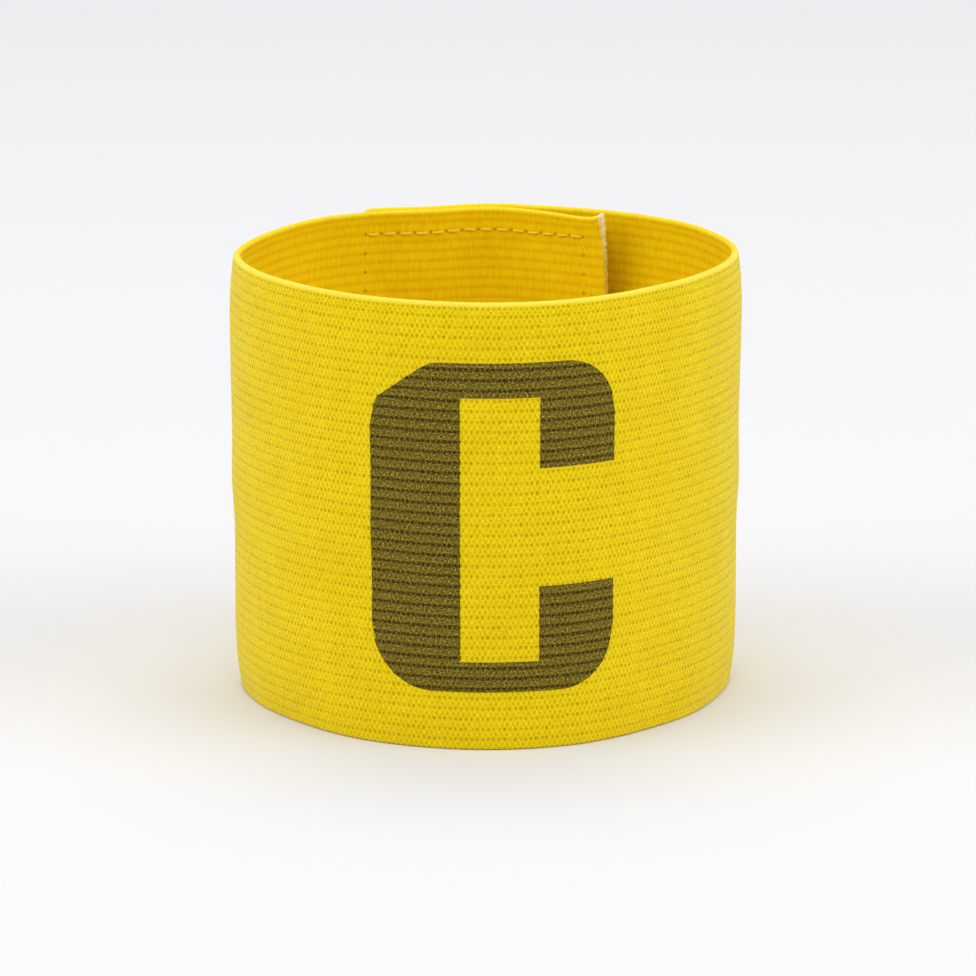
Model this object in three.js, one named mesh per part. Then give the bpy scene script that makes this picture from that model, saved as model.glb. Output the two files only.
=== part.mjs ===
import * as THREE from 'three';

// A sports captain's armband: one strip of ribbed elastic wrapped into a loop, with its two ends
// lapped at the back, a hook tape and a loop tape that hold the lap, and a plain block letter C
// printed on the front. It stands on its lower edge. Lengths are in millimetres, +Z is up and -Y
// is the front. Bearings are degrees anticlockwise seen from above: 0 is +X, 90 the back, 270 the
// front. An arc is a length round the loop, measured on a circle of loopReach.
const frontBearing = 270;

// The elastic strip
const bandWidth = 85; // foot to rim
const bandWall = 1.4;
const loopReach = 49; // axis to outer face where the loop is fullest
const rimRound = 0.7; // radius of the rounded rim
const lapLength = 51.8; // arc by which the outer end passes the inner end
const lapBearing = 87.8; // middle of the lap
const rampLength = 49; // arc over which the strip climbs onto its own inner end
const rampMargin = 4.2; // the climb is over this far before the inner end
const endLean = 2.8; // the inner end stands off from the outer layer by this much
const leanLength = 32;
const footSpread = 0.8; // the foot of the front stands out further by this much
const spreadHeight = 11; // and that has faded out at this height
const spreadFrom = 216; // bearings between which the foot spreads
const spreadTo = 348;
const spreadEase = 25; // bearing over which it comes and goes

// The two tapes between the layers
const hookLength = 53.4;
const loopLength = 45.6;
const tapeSideMargin = 3.1; // from the band's long edges
const tapeEndMargin = 2.6; // from the band's cut ends
const hookThickness = 0.6;
const loopThickness = 0.8;
const tapeGap = 0.15;

// The printed letter
const letterFootMargin = 11.2;
const letterRimMargin = 11.1;
const letterShift = 1.7; // the letter's middle lies this far right of the front's middle
const stemWidth = 18;
const counterWidth = 15; // between the stem and the arms
const armWidth = 15.8;
const topBar = 6.6;
const footBar = 5.8;
const mouthShare = 0.36; // opening between the two arms, of the letter's height
const chamferWidth = 13.6; // the stem's cut corner at the top
const chamferDrop = 9.8;
const armTopRound = 10.8;
const armFootRound = 11.6;
const stemFootRound = 12.6;
const printThickness = 0.25;
const printGap = 0.12;

// Spacing of the columns that the strip and the print are made of
const columnStep = 3.4;
const letterStep = 2.4;
const slimRow = 0.4; // a row that would lie closer than this to an edge is left out

// The loop seen from above: the outer face's distance from the axis, as a share of loopReach. The
// front comes to a soft nose between two flatter stretches, and the stiff tapes hold the back flat
// on both sides of 88.
const plan = [
  { bearing: 0, reach: 0.998 },
  { bearing: 8, reach: 1.003 },
  { bearing: 18, reach: 0.997 },
  { bearing: 27, reach: 0.987 },
  { bearing: 35, reach: 0.984 },
  { bearing: 45, reach: 0.97 },
  { bearing: 54, reach: 0.965 },
  { bearing: 65, reach: 0.962 },
  { bearing: 77, reach: 0.959 },
  { bearing: 88, reach: 0.98 },
  { bearing: 95, reach: 0.967 },
  { bearing: 102, reach: 0.944 },
  { bearing: 109, reach: 0.955 },
  { bearing: 117, reach: 0.983 },
  { bearing: 123, reach: 0.99 },
  { bearing: 129, reach: 1.003 },
  { bearing: 137, reach: 0.998 },
  { bearing: 150, reach: 0.981 },
  { bearing: 159, reach: 0.978 },
  { bearing: 169, reach: 0.986 },
  { bearing: 180, reach: 1.0 },
  { bearing: 200, reach: 0.978 },
  { bearing: 215, reach: 0.965 },
  { bearing: 230, reach: 0.968 },
  { bearing: 250, reach: 0.982 },
  { bearing: 270, reach: 1.0 },
  { bearing: 289, reach: 0.988 },
  { bearing: 303, reach: 0.963 },
  { bearing: 315, reach: 0.946 },
  { bearing: 329, reach: 0.951 },
  { bearing: 342, reach: 0.968 },
];

// The loop seen from the side: girth as a share of the fullest, by share of the height. The foot
// draws in, there is a slack below the middle, and the rim turns in a little.
const profile = [
  { height: 0, girth: 0.967 },
  { height: 0.03, girth: 0.974 },
  { height: 0.07, girth: 0.982 },
  { height: 0.13, girth: 0.987 },
  { height: 0.22, girth: 0.988 },
  { height: 0.37, girth: 0.9875 },
  { height: 0.42, girth: 0.991 },
  { height: 0.48, girth: 0.9965 },
  { height: 0.6, girth: 0.994 },
  { height: 0.72, girth: 0.997 },
  { height: 0.86, girth: 1.0 },
  { height: 0.93, girth: 0.996 },
  { height: 0.97, girth: 0.989 },
  { height: 1, girth: 0.983 },
];

// The rounded rim: how far below the top, as a share of rimRound, and how much of the wall is left
const rimCurve = [
  { down: 1, wall: 1 },
  { down: 0.5, wall: 0.87 },
  { down: 0.15, wall: 0.53 },
  { down: 0, wall: 0.25 },
];

const degrees = (arc) => THREE.MathUtils.radToDeg(arc / loopReach);
const layerStep = bandWall + hookThickness + loopThickness + 3 * tapeGap;
const innerEnd = lapBearing - degrees(lapLength) / 2;
const outerEnd = 360 + lapBearing + degrees(lapLength) / 2;
const letterTop = bandWidth - letterRimMargin;
const letterHeight = letterTop - letterFootMargin;
const letterWidth = stemWidth + counterWidth + armWidth;
const letterLeft = letterShift - letterWidth / 2;
const letterRight = letterShift + letterWidth / 2;
const stemEdge = letterLeft + stemWidth;
const armEdge = letterRight - armWidth;
const armHeight = (letterHeight * (1 - mouthShare)) / 2;
const cornerLimit = letterHeight / 3; // the stem's two corners never meet

// Smooth reach of the plan at any bearing, through the table's rows and round past 360
function reachAt(bearing) {
  const around = THREE.MathUtils.euclideanModulo(bearing, 360);
  const count = plan.length;
  const row = plan.findLastIndex((entry) => entry.bearing <= around);
  const at = (step) => {
    const index = row + step;
    const turns = Math.floor(index / count);
    const entry = plan[THREE.MathUtils.euclideanModulo(index, count)];
    return { bearing: entry.bearing + 360 * turns, reach: entry.reach };
  };
  const [before, from, to, after] = [at(-1), at(0), at(1), at(2)];
  const width = to.bearing - from.bearing;
  const t = (around - from.bearing) / width;
  const slopeFrom = ((to.reach - before.reach) / (to.bearing - before.bearing)) * width;
  const slopeTo = ((after.reach - from.reach) / (after.bearing - from.bearing)) * width;
  const bend = from.reach - to.reach;
  return from.reach + t * (slopeFrom + t * (-3 * bend - 2 * slopeFrom - slopeTo
    + t * (2 * bend + slopeFrom + slopeTo)));
}

// Girth at a height, straight between the table's rows, which are rows of every face too
function girthAt(height) {
  const share = THREE.MathUtils.clamp(height / bandWidth, 0, 1);
  const upper = Math.max(1, profile.findIndex((entry) => entry.height >= share));
  const [low, high] = [profile[upper - 1], profile[upper]];
  return THREE.MathUtils.mapLinear(share, low.height, high.height, low.girth, high.girth);
}

// How far the strip has climbed onto its inner end, from 0 to 1
function climbAt(bearing) {
  const rampEnd = 360 + innerEnd - degrees(rampMargin);
  return THREE.MathUtils.smoothstep(bearing, rampEnd - degrees(rampLength), rampEnd);
}

// How much of the foot's spread there is, from 0 to 1
function spreadAt(bearing, height) {
  const comes = THREE.MathUtils.smoothstep(bearing, spreadFrom, spreadFrom + spreadEase);
  const goes = THREE.MathUtils.smoothstep(bearing, spreadTo - spreadEase, spreadTo);
  return (comes - goes) * (1 - THREE.MathUtils.smoothstep(height, 0, spreadHeight));
}

// A point on the strip: bearing runs on past 360 onto the outer layer, and offset is the distance
// outward from the strip's own outer face
function place({ bearing, height, offset }) {
  const climb = climbAt(bearing);
  const leanEnd = innerEnd + degrees(leanLength);
  const lean = endLean * (1 - THREE.MathUtils.smoothstep(bearing, innerEnd, leanEnd));
  const spread = footSpread * spreadAt(bearing, height);
  const ownRadius = loopReach * reachAt(bearing) * girthAt(height);
  const radius = ownRadius + layerStep * climb - lean + spread + offset;
  const angle = THREE.MathUtils.degToRad(bearing);
  return [radius * Math.cos(angle), radius * Math.sin(angle), height];
}

function evenly(from, to, step) {
  const count = Math.max(1, Math.round((to - from) / step));
  return Array.from({ length: count + 1 }, (_, index) => from + ((to - from) * index) / count);
}

// A closed body on the strip. points are places on its outer face and its inner face, and
// triangles join them anticlockwise seen from outside; walls close every open edge.
function body(name, material, points, triangles) {
  const count = points.length;
  const positions = [
    ...points.flatMap((point) => place({ ...point, offset: point.outer })),
    ...points.flatMap((point) => place({ ...point, offset: point.inner })),
  ];
  const edges = new Set(triangles.flatMap(([a, b, c]) => [`${a} ${b}`, `${b} ${c}`, `${c} ${a}`]));
  const index = [];
  for (const [a, b, c] of triangles) {
    index.push(a, b, c, c + count, b + count, a + count);
  }
  for (const edge of edges) {
    const [a, b] = edge.split(' ').map(Number);
    if (!edges.has(`${b} ${a}`)) {
      index.push(b, a, a + count, b, a + count, b + count);
    }
  }
  const geometry = new THREE.BufferGeometry();
  geometry.setAttribute('position', new THREE.Float32BufferAttribute(positions, 3));
  geometry.setIndex(index);
  geometry.computeVertexNormals();
  const mesh = new THREE.Mesh(geometry, material);
  mesh.name = name;
  return mesh;
}

// A rectangle on the strip: columns are bearings, rows are heights with their two offsets
function sheet(name, material, columns, rows) {
  const points = columns.flatMap((bearing) => rows.map((row) => ({ bearing, ...row })));
  const triangles = [];
  for (let column = 0; column < columns.length - 1; column += 1) {
    for (let row = 0; row < rows.length - 1; row += 1) {
      const a = column * rows.length + row;
      const b = a + rows.length;
      triangles.push([a, b, b + 1], [a, b + 1, a + 1]);
    }
  }
  return body(name, material, points, triangles);
}

// Heights of the profile's rows that lie between two heights, with those two
function heightsBetween(low, high) {
  const inside = profile
    .map((entry) => entry.height * bandWidth)
    .filter((height) => height > low + slimRow && height < high - slimRow);
  return [low, ...inside, high];
}

const arcToBearing = (arc) => frontBearing + degrees(arc);

// The letter's three zones from left to right: the stem, the two bars and the two arms. open gives
// the heights between which a zone is bare.
const zones = [
  { from: letterLeft, to: stemEdge, open: [] },
  { from: stemEdge, to: armEdge, open: [letterFootMargin + footBar, letterTop - topBar] },
  { from: armEdge, to: letterRight, open: [letterFootMargin + armHeight, letterTop - armHeight] },
];
const zoneArcs = zones.map((zone) => evenly(zone.from, zone.to, letterStep));

// How much a round corner takes off, at an arc that lies past the corner's start by some inset
function cornerCut(radius, inset) {
  const within = THREE.MathUtils.clamp(inset, 0, radius);
  return radius - Math.sqrt(radius ** 2 - within ** 2);
}

function letterHigh(arc) {
  const drop = Math.min(chamferDrop, cornerLimit);
  const chamfer = drop * Math.max(0, 1 - (arc - letterLeft) / chamferWidth);
  const radius = Math.min(armTopRound, armHeight - slimRow);
  return letterTop - chamfer - cornerCut(radius, arc - (letterRight - radius));
}

function letterLow(arc) {
  const radius = Math.min(armFootRound, armHeight - slimRow);
  const stemRadius = Math.min(stemFootRound, cornerLimit);
  const stemCorner = cornerCut(stemRadius, letterLeft + stemRadius - arc);
  return letterFootMargin + stemCorner + cornerCut(radius, arc - (letterRight - radius));
}

function elasticBand(material) {
  const letterArcs = [...new Set(zoneArcs.flat())];
  const columns = [
    ...evenly(innerEnd, arcToBearing(letterLeft), degrees(columnStep)).slice(0, -1),
    ...letterArcs.map(arcToBearing),
    ...evenly(arcToBearing(letterRight), outerEnd, degrees(columnStep)).slice(1),
  ];
  const rimStart = bandWidth - rimRound;
  const rows = [
    ...heightsBetween(0, rimStart).slice(0, -1).map((height) => ({ height, wall: 1 })),
    ...rimCurve.map(({ down, wall }) => ({ height: bandWidth - down * rimRound, wall })),
  ].map(({ height, wall }) => ({
    height,
    outer: (-bandWall * (1 - wall)) / 2,
    inner: (-bandWall * (1 + wall)) / 2,
  }));
  return sheet('elastic_band', material, columns, rows);
}

// A tape between the layers, which follows the strip from a bearing on. innerOffset places its
// inner face on the strip there.
function tape(name, material, { from, length, innerOffset, thickness }) {
  const columns = evenly(from, from + degrees(length), degrees(columnStep));
  const rows = heightsBetween(tapeSideMargin, bandWidth - tapeSideMargin).map((height) => ({
    height,
    outer: innerOffset + thickness,
    inner: innerOffset,
  }));
  return sheet(name, material, columns, rows);
}

// The printed letter: each zone is a run of columns, each column one or two spans of height, and
// neighbouring columns are joined by a zip of triangles
function letterPrint(material) {
  const points = [];
  const found = new Map();
  const pointAt = (arc, height) => {
    const key = `${arc.toFixed(5)} ${height.toFixed(5)}`;
    if (!found.has(key)) {
      found.set(key, points.length);
      points.push({
        bearing: arcToBearing(arc),
        height,
        outer: printGap + printThickness,
        inner: printGap,
      });
    }
    return found.get(key);
  };
  // Where two zones meet, both have a point at each break, and no row of the profile close to one
  const chain = (arc, low, high) => {
    const zoneEnd = zones.some((zone) => zone.from === arc || zone.to === arc);
    const breaks = zoneEnd ? zones.flatMap((zone) => zone.open) : [];
    const rows = heightsBetween(low, high).filter((height) => height === low || height === high
      || breaks.every((point) => Math.abs(point - height) > slimRow));
    return [...rows, ...breaks.filter((point) => point > low && point < high)]
      .sort((a, b) => a - b)
      .map((height) => ({ height, id: pointAt(arc, height) }));
  };
  const triangles = [];
  zones.forEach((zone, index) => {
    const arcs = zoneArcs[index];
    const edgesAt = (arc) => [letterLow(arc), ...zone.open, letterHigh(arc)];
    for (let column = 0; column < arcs.length - 1; column += 1) {
      const [leftEdges, rightEdges] = [edgesAt(arcs[column]), edgesAt(arcs[column + 1])];
      for (let span = 0; span < leftEdges.length; span += 2) {
        const left = chain(arcs[column], leftEdges[span], leftEdges[span + 1]);
        const right = chain(arcs[column + 1], rightEdges[span], rightEdges[span + 1]);
        let [i, j] = [0, 0];
        while (i < left.length - 1 || j < right.length - 1) {
          const stepLeft = j === right.length - 1
            || (i < left.length - 1 && left[i + 1].height < right[j + 1].height);
          if (stepLeft) {
            triangles.push([left[i].id, right[j].id, left[i + 1].id]);
            i += 1;
          } else {
            triangles.push([left[i].id, right[j].id, right[j + 1].id]);
            j += 1;
          }
        }
      }
    }
  });
  return body('letter_print', material, points, triangles);
}

const knitYellow = new THREE.MeshStandardMaterial({ color: '#e3c614', roughness: 0.85, metalness: 0 });
const inkBlack = new THREE.MeshStandardMaterial({ color: '#5c4f18', roughness: 0.8, metalness: 0 });
const hookYellow = new THREE.MeshStandardMaterial({ color: '#e8cf3a', roughness: 0.6, metalness: 0 });
const loopYellow = new THREE.MeshStandardMaterial({ color: '#ecd650', roughness: 0.95, metalness: 0 });

const armband = new THREE.Group();
armband.add(elasticBand(knitYellow));
armband.add(tape('hook_patch', hookYellow, {
  from: innerEnd + degrees(tapeEndMargin),
  length: hookLength,
  innerOffset: tapeGap,
  thickness: hookThickness,
}));
armband.add(tape('loop_patch', loopYellow, {
  from: outerEnd - degrees(tapeEndMargin + loopLength),
  length: loopLength,
  innerOffset: -bandWall - tapeGap - loopThickness,
  thickness: loopThickness,
}));
armband.add(letterPrint(inkBlack));

// The origin is under the middle of the whole loop, on the surface that it stands on
const middle = new THREE.Box3().setFromObject(armband).getCenter(new THREE.Vector3());
armband.position.set(-middle.x, -middle.y, 0);

export default armband;
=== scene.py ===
import math
import random

import bmesh
import bpy
import numpy as np
from mathutils import Matrix, Vector


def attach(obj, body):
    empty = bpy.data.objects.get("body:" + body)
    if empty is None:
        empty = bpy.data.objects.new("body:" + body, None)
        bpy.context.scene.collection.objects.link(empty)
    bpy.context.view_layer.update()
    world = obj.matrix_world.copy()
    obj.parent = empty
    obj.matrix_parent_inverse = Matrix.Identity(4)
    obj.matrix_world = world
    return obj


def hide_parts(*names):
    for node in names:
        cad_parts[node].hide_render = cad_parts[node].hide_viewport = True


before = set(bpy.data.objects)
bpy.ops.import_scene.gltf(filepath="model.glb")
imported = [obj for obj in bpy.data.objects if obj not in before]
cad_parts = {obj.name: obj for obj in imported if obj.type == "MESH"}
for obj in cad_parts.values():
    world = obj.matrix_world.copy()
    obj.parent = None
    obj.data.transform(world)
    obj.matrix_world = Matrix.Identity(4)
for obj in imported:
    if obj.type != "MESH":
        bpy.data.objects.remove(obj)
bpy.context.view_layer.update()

# A yellow captain's armband: a strip of ribbed elastic closed into a loop on hook-and-loop tape,
# with a block letter printed on the front. Everything is in metres. A bearing is in degrees
# anticlockwise seen from above: 0 is +X, 90 the back and 270 the front. The strip's first end lies
# inside the lap and its second end, past 360, outside it.
mm = 0.001
chance = random.Random(11)


# Camera: a long lens, well back and a little above

camera = {
    "place": (0.00045, -1.1009, 0.30348),
    "tiltDown": 13.535,
    "lens": 216.6,
    "sensor": 36.0,
}

cameraData = bpy.data.cameras.new("camera")
cameraData.lens = camera["lens"]
cameraData.sensor_width = camera["sensor"]
cameraData.clip_start = 0.05
cameraData.clip_end = 20
cameraObject = bpy.data.objects.new("camera", cameraData)
bpy.context.scene.collection.objects.link(cameraObject)
cameraObject.location = camera["place"]
cameraObject.rotation_euler = (math.radians(90 - camera["tiltDown"]), 0, 0)
bpy.context.scene.camera = cameraObject
bpy.context.scene.view_settings.view_transform = "Standard"
print("camera set")


# Materials: settings that several nodes share, and small helpers

softRamp = {"interpolation_type": "SMOOTHSTEP"}
flatNoise = {"noise_dimensions": "2D"}
colourMix = {"data_type": "RGBA"}
add = {"operation": "ADD"}
subtract = {"operation": "SUBTRACT"}
multiply = {"operation": "MULTIPLY"}
multiplyAdd = {"operation": "MULTIPLY_ADD"}
absolute = {"operation": "ABSOLUTE"}
pingPong = {"operation": "PINGPONG"}
maximum = {"operation": "MAXIMUM"}


def linear(hexColour):
    parts = [int(hexColour[i:i + 2], 16) / 255 for i in (1, 3, 5)]
    lit = [c / 12.92 if c <= 0.04045 else ((c + 0.055) / 1.055) ** 2.4 for c in parts]
    return (*lit, 1.0)


def addNode(tree, kind, settings=None, inputs=None, output=0):
    # inputs: socket name or number, with a value or with the output that is linked to it.
    # Gives the output of that number, or the node itself where output is None
    node = tree.nodes.new("ShaderNode" + kind)
    for name, value in (settings or {}).items():
        setattr(node, name, value)
    for socket, value in (inputs or {}).items():
        if isinstance(value, bpy.types.NodeSocket):
            tree.links.new(value, node.inputs[socket])
        else:
            node.inputs[socket].default_value = value
    return node if output is None else node.outputs[output]


def newMaterial(name):
    material = bpy.data.materials.new(name)
    material.use_nodes = True
    material.node_tree.nodes.clear()
    return material, material.node_tree


def finishMaterial(tree, shader):
    addNode(tree, "OutputMaterial", None, {"Surface": shader}, output=None)


# The strip's form, the same as the CAD model's. plan holds bearings and profile shares of the
# height, each with the share of reach there

strip = {
    "axis": (-0.0000856, -0.0009046),  # where the loop's own axis stands in the frame
    "width": 85 * mm,
    "wall": 1.4 * mm,
    "reach": 49 * mm,  # axis to outer face where the loop is fullest
    "lapLength": 51.8 * mm,
    "lapBearing": 87.8,
    "rampLength": 49 * mm,  # over which the strip climbs onto its own first end
    "rampMargin": 4.2 * mm,  # the climb is over this far before that end
    "endLean": 2.8 * mm,  # the first end stands off from the layer outside it
    "leanLength": 32 * mm,
    "layerStep": 3.25 * mm,
    "footSpread": 0.8 * mm,  # the foot of the front stands out further
    "spreadHeight": 11 * mm,
    "spreadBearings": (216, 348),
    "spreadEase": 25,
    "slack": 0.1 * mm,  # soft unevenness of the whole loop
    "endSlant": 1.1 * mm,  # the first end is cut out of square, longer lower down
    "slantHeight": 24 * mm,
    "slantFade": 15 * mm,
}

plan = [
    (0, 0.998), (8, 1.003), (18, 0.997), (27, 0.987), (35, 0.984), (45, 0.97), (54, 0.965),
    (65, 0.962), (77, 0.959), (88, 0.98), (95, 0.967), (102, 0.944), (109, 0.955), (117, 0.983),
    (123, 0.99), (129, 1.003), (137, 0.998), (150, 0.981), (159, 0.978), (169, 0.986),
    (180, 1.0), (200, 0.978), (215, 0.965), (230, 0.968), (250, 0.982), (270, 1.0),
    (289, 0.988), (303, 0.963), (315, 0.946), (329, 0.951), (342, 0.968),
]
profile = [
    (0, 0.967), (0.03, 0.974), (0.07, 0.982), (0.13, 0.987), (0.22, 0.988), (0.37, 0.9875),
    (0.42, 0.991), (0.48, 0.9965), (0.6, 0.994), (0.72, 0.997), (0.86, 1.0), (0.93, 0.996),
    (0.97, 0.989), (1, 0.983),
]


def degreesOf(arc):
    return math.degrees(arc / strip["reach"])


innerEnd = strip["lapBearing"] - degreesOf(strip["lapLength"]) / 2
outerEnd = 360 + strip["lapBearing"] + degreesOf(strip["lapLength"]) / 2
stripLength = math.radians(outerEnd - innerEnd) * strip["reach"]


def throughRows(rows, at, turn=None):
    # A smooth curve through the rows, round and round where turn is given
    places, values = np.array(rows, float).T
    if turn:
        places = np.concatenate([places[-2:] - turn, places, places[:2] + turn])
        values = np.concatenate([values[-2:], values, values[:2]])
        at = np.mod(at, turn)
    slopes = np.zeros(len(values))
    slopes[1:-1] = (values[2:] - values[:-2]) / (places[2:] - places[:-2])
    row = np.clip(np.searchsorted(places, at, side="right") - 1, 0, len(places) - 2)
    width = places[row + 1] - places[row]
    t = np.clip((at - places[row]) / width, 0, 1)
    start, end = values[row], values[row + 1]
    slopeIn, slopeOut = slopes[row] * width, slopes[row + 1] * width
    return start + t * (slopeIn + t * (
        3 * (end - start) - 2 * slopeIn - slopeOut + t * (2 * (start - end) + slopeIn + slopeOut)))


def eased(at, low, high):
    t = np.clip((at - low) / (high - low), 0, 1)
    return t * t * (3 - 2 * t)


def onStrip(bearing, height, offset):
    # A place on the strip; offset is outward from its own outer face
    bearing, height, offset = np.broadcast_arrays(
        np.asarray(bearing, float), np.asarray(height, float), np.asarray(offset, float))
    rampEnd = 360 + innerEnd - degreesOf(strip["rampMargin"])
    climb = eased(bearing, rampEnd - degreesOf(strip["rampLength"]), rampEnd)
    lean = 1 - eased(bearing, innerEnd, innerEnd + degreesOf(strip["leanLength"]))
    first, last = strip["spreadBearings"]
    ease = strip["spreadEase"]
    spread = eased(bearing, first, first + ease) - eased(bearing, last - ease, last)
    spread = strip["footSpread"] * spread * (1 - eased(height, 0, strip["spreadHeight"]))
    share = height / strip["width"]
    turn = np.radians(bearing)
    # two waves round the loop that drift as they rise
    slack = strip["slack"] * (
        np.sin(5 * turn + 4.1 * share) * np.sin(3.4 * share + 0.6)
        + 0.6 * np.sin(9 * turn - 5.3 * share))
    radius = (strip["reach"] * throughRows(plan, bearing, 360) * throughRows(profile, share)
              + strip["layerStep"] * climb - strip["endLean"] * lean + spread + slack + offset)
    return np.stack([strip["axis"][0] + radius * np.cos(turn),
                     strip["axis"][1] + radius * np.sin(turn), height], -1)


def alongStrip(bearing):
    # Millimetres from the strip's first end, for the knit pattern
    return np.radians(np.asarray(bearing, float) - innerEnd) * strip["reach"] / mm


tapes = {
    "hookLength": 53.4 * mm,
    "loopLength": 45.6 * mm,
    "sideMargin": 3.1 * mm,  # from the strip's long edges
    "endMargin": 2.6 * mm,  # from its cut ends
    "hookThickness": 0.6 * mm,
    "loopThickness": 0.8 * mm,
    "gap": 0.15 * mm,
    "edgeThin": 0.3,  # how much thinner the edges are, as a share
    "step": 1.5 * mm,
}


# The knit: ribs run round the loop, with a row of stitch holes in each groove and a fainter row
# halfway up each rib

knit = {
    "ribPitch": 1.96,  # mm, as are the rest
    "stitchPitch": 1.03,
    "footGroove": 2.09,  # height of the lowest groove
    "rimGroove": 83.85,
    "rimGrooveDepth": 0.7,  # share of the other grooves' depth
    "grooveCount": 42,
    # across a rib from groove to groove: share of the pitch, and depth below the face in mm
    "outerRib": [(0, 0.09), (0.12, 0.035), (0.28, 0), (0.5, 0.03), (0.72, 0.01), (0.88, 0.045)],
    "innerRib": [(0, 0.06), (0.16, 0.03), (0.5, 0), (0.84, 0.03)],
    "footRound": 0.35,
    "rimRound": 0.7,
    "roundTurns": (90, 65, 40, 18),  # degrees, the corners of a rounded edge
    "columnStep": 1.8,
}

cutEnds = {
    "columns": (0.3, 0.6, 1.0, 1.5, 2.2, 3.2),  # mm from a cut end
    "ragged": 0.16,  # mm, as are the rest
    "cornerRise": 1.2,  # the top corner of the first end is pulled up
    "riseReach": 1.6,
    "cornerDip": 0.6,  # and its long edge sags just before it
    "dipPlace": 4.5,
    "dipReach": 8.0,
    "liftHeight": 7.0,  # how far down from the rim the cloth follows
    # the cream core at the first end: its width, what is added near the rim with the height over
    # which that fades, and the height over which it gets faint with the least that stays
    "creamWidth": 0.1,
    "creamAdded": [(1.2, 1.3), (0.25, 6.0)],
    "creamUneven": (0.75, 1.25),  # share
    "creamHeight": 6.0,
    "creamLeast": 0.06,
    # and at the second end
    "secondWidth": 0.5,
    "secondShare": 0.5,  # how plain it is
}

grooves = [knit["footGroove"] + knit["ribPitch"] * i for i in range(knit["grooveCount"])]
grooves.append(knit["rimGroove"])


def ribRows(ribShape):
    # Heights up a face with their depths, in mm, from the rounded foot to the rounded rim
    low, high = knit["footRound"], strip["width"] / mm - knit["rimRound"]
    rows = [(low, 0.0), ((low + grooves[0]) / 2, 0.0)]
    for start, end in zip(grooves, grooves[1:]):
        rows += [(start + share * (end - start), depth) for share, depth in ribShape]
    rows.append((grooves[-1], ribShape[0][1] * knit["rimGrooveDepth"]))
    rows.append((high, 0.0))
    return rows


outerRows = ribRows(knit["outerRib"])
innerRows = ribRows(knit["innerRib"])


def faceDepth(rows, height):
    heights, depths = np.array(rows).T
    return np.interp(np.asarray(height) / mm, heights, depths) * mm


def buildMesh(name, points, faces, uv, floats=None):
    # uv and the values in floats go point by point
    mesh = bpy.data.meshes.new(name)
    mesh.from_pydata(np.asarray(points).tolist(), [], faces)
    layer = mesh.uv_layers.new(name="cloth")
    corners = np.zeros(len(mesh.loops), np.int32)
    mesh.loops.foreach_get("vertex_index", corners)
    layer.data.foreach_set("uv", np.asarray(uv, np.float32)[corners].ravel())
    for label, values in (floats or {}).items():
        attribute = mesh.attributes.new(label, "FLOAT", "POINT")
        attribute.data.foreach_set("value", np.asarray(values, np.float32).ravel())
    piece = bpy.data.objects.new(name, mesh)
    bpy.context.scene.collection.objects.link(piece)
    shape = bmesh.new()
    shape.from_mesh(mesh)
    bmesh.ops.recalc_face_normals(shape, faces=shape.faces)
    shape.to_mesh(mesh)
    shape.free()
    mesh.shade_smooth()
    return piece


def zipChains(left, right):
    # Triangles between two chains of (height, point number), both going up
    faces, i, j = [], 0, 0
    while i < len(left) - 1 or j < len(right) - 1:
        stepLeft = j == len(right) - 1 or (i < len(left) - 1 and left[i + 1][0] < right[j + 1][0])
        corner = left[i + 1][1] if stepLeft else right[j + 1][1]
        face = (left[i][1], right[j][1], corner)
        if len(set(face)) == 3:
            faces.append(face)
        i, j = (i + 1, j) if stepLeft else (i, j + 1)
    return faces


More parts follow.
